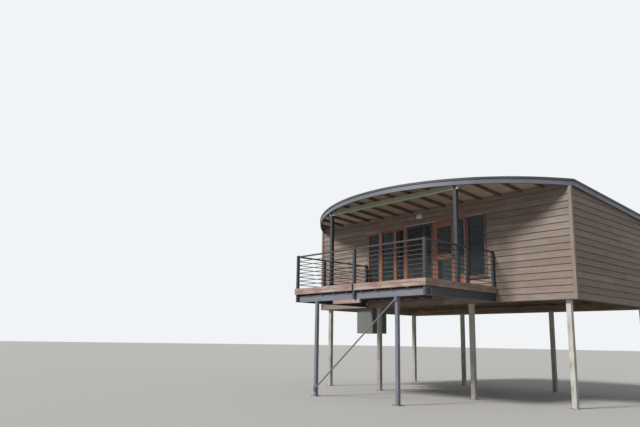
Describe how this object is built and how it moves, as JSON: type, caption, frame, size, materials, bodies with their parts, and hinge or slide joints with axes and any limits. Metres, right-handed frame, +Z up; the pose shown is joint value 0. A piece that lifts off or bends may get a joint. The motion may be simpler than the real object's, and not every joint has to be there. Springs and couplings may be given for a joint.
{
  "type": "stilt house",
  "caption": "Timber cabin on slim stilts with a railed deck, glazed cedar joinery, a hinged door and a bow-fronted verandah roof.",
  "frame": {"origin": "on the lowest ground, under the centre of the whole outline", "axes": "+X along the front wall to the right of a person who faces the house, +Y towards the back, +Z up"},
  "size_m": [9.66, 8.5932, 5.897],
  "materials": {
    "dark_steel": "satin dark blue-grey paint",
    "pale_steel": "satin pale blue-grey paint",
    "roof_metal": "weathered coated sheet",
    "cedar": "oiled red-brown timber",
    "brown_timber": "purple-brown painted timber",
    "weatherboard": "stained boards, faded and dusty",
    "decking": "pinkish hardwood, worn",
    "framing_timber": "plain sawn timber",
    "green_timber": "pale green paint",
    "glass": "clear window glass",
    "pale_paint": "pale paint",
    "lamp_cover": "frosted cover"
  },
  "bodies": {
    "house": {"front_stilts": "pale_steel", "middle_stilts": "framing_timber", "back_stilts": "framing_timber", "stilt_brace": "pale_steel", "bearers": "framing_timber", "floor_joists": "framing_timber", "house_floor": "decking", "underfloor_cabinet": "pale_steel", "deck_front_beam": "pale_steel", "deck_side_beams": "dark_steel", "beam_packer": "decking", "deck_joists": "framing_timber", "deck_edge_boards": "decking", "deck_boards": "decking", "front_wall_left": "weatherboard", "front_wall_right": "weatherboard", "front_wall_base": "weatherboard", "front_wall_head": "weatherboard", "left_wall": "weatherboard", "right_wall": "weatherboard", "back_wall": "weatherboard", "corner_trims": "weatherboard", "roof_posts": "dark_steel", "verandah_beam": "green_timber", "rafters": "framing_timber", "roof_lining": "framing_timber", "roof_sheet": "roof_metal", "front_fascia": "pale_steel", "side_and_back_fascias": "pale_steel", "glazed_wall_frame": "cedar", "screen_window_frame": "dark_steel", "door_frame": "cedar", "tall_window_frame": "brown_timber", "back_window_frames": "brown_timber", "window_glass": "glass", "head_flashings": "pale_paint", "wall_light": "lamp_cover", "balustrade_posts": "dark_steel", "balustrade_rails": "dark_steel", "front_rods": "pale_steel", "side_rods": "dark_steel"},
    "door": {"door_leaf": "cedar", "door_glass": "glass", "door_handle": "dark_steel", "door_hinges": "dark_steel"}
  },
  "joints": [
    {"name": "door_hinge", "type": "hinge", "parent": "house", "child": "door", "pos_m": [0.376, -1.183, 3.1], "axis": [0, 0, -1], "range_deg": [0, 95]}
  ]
}
